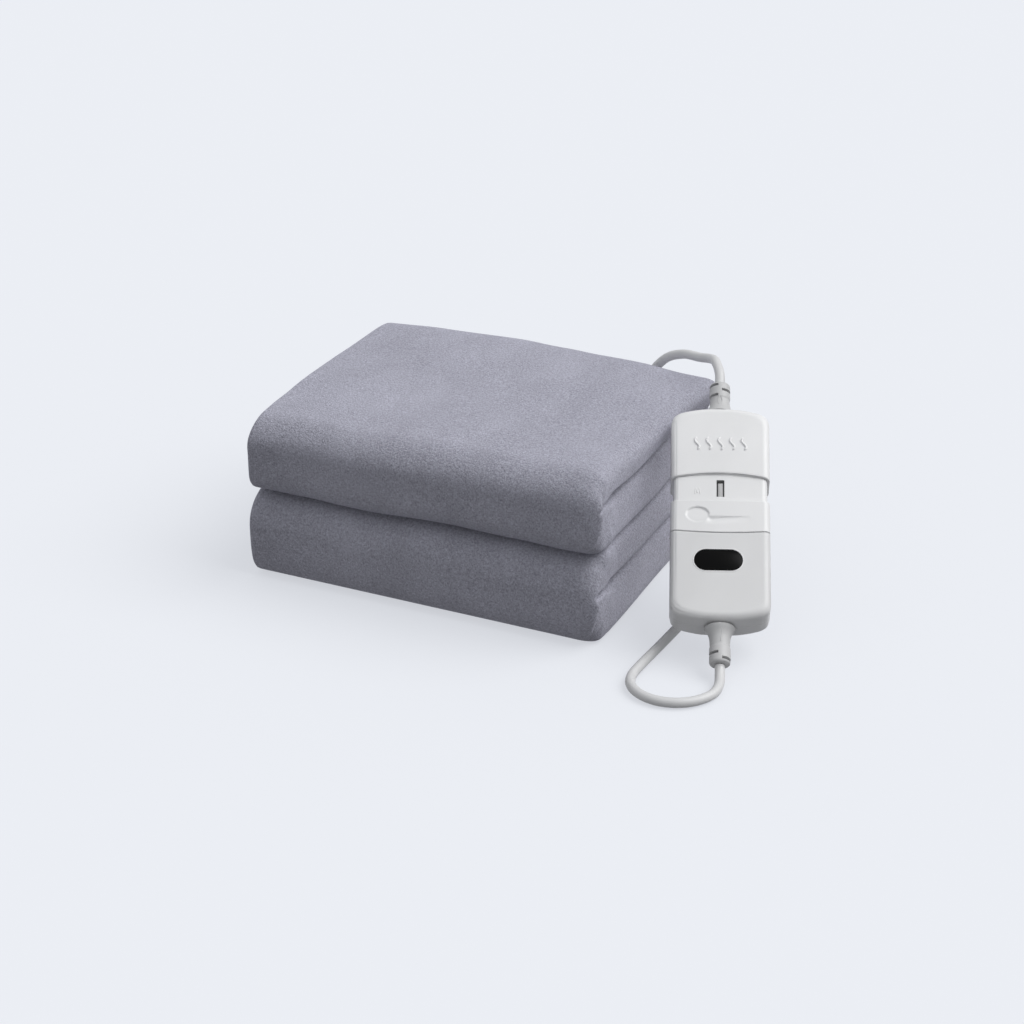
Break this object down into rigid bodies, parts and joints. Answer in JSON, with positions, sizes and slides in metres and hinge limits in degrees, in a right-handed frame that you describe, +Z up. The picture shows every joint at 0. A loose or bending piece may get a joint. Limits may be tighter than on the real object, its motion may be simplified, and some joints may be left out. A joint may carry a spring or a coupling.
{
  "type": "folded electric heated blanket with slide controller",
  "caption": "Grey-lavender fleece heated blanket folded into a thick stack, with a white slide controller leaning on its side, its leads and a coiled mains cord.",
  "frame": {"origin": "on the floor, at the middle of the folded stack's flat underside", "axes": "+X along the front rolls towards the controller, -Y towards the front rolls, +Z up"},
  "size_m": [0.3502, 0.3434, 0.1291],
  "materials": {
    "fleece": "short matt plush pile",
    "binding": "pale ribbed tape with a soft sheen",
    "white_shell": "satin white moulding",
    "grey_moulding": "soft off-white rubber-like moulding",
    "black_window": "glossy black",
    "cord": "smooth off-white cord jacket",
    "strap": "dark woven strap",
    "pin_metal": "bright plated"
  },
  "bodies": {
    "root": {"blanket": "fleece", "end_binding_upper": "binding", "end_binding_lower": "binding", "housing_bottom": "white_shell", "housing_top": "white_shell", "slider_track": "white_shell", "slot_strip": "grey_moulding", "display_window": "black_window", "strain_relief_top": "grey_moulding", "strain_relief_bottom": "grey_moulding", "lead_entry": "grey_moulding", "blanket_lead": "cord", "mains_lead": "cord", "mains_coil": "cord", "mains_tail": "cord", "cord_tie": "strap", "plug_body": "white_shell", "plug_pin_left": "pin_metal", "plug_pin_right": "pin_metal"},
    "slider": {"slider": "white_shell"}
  },
  "joints": [
    {"name": "heat_slide", "type": "slide", "parent": "root", "child": "slider", "axis": [-0.3279, 0.7506, 0.5736], "range_m": [0, 0.0155]}
  ]
}
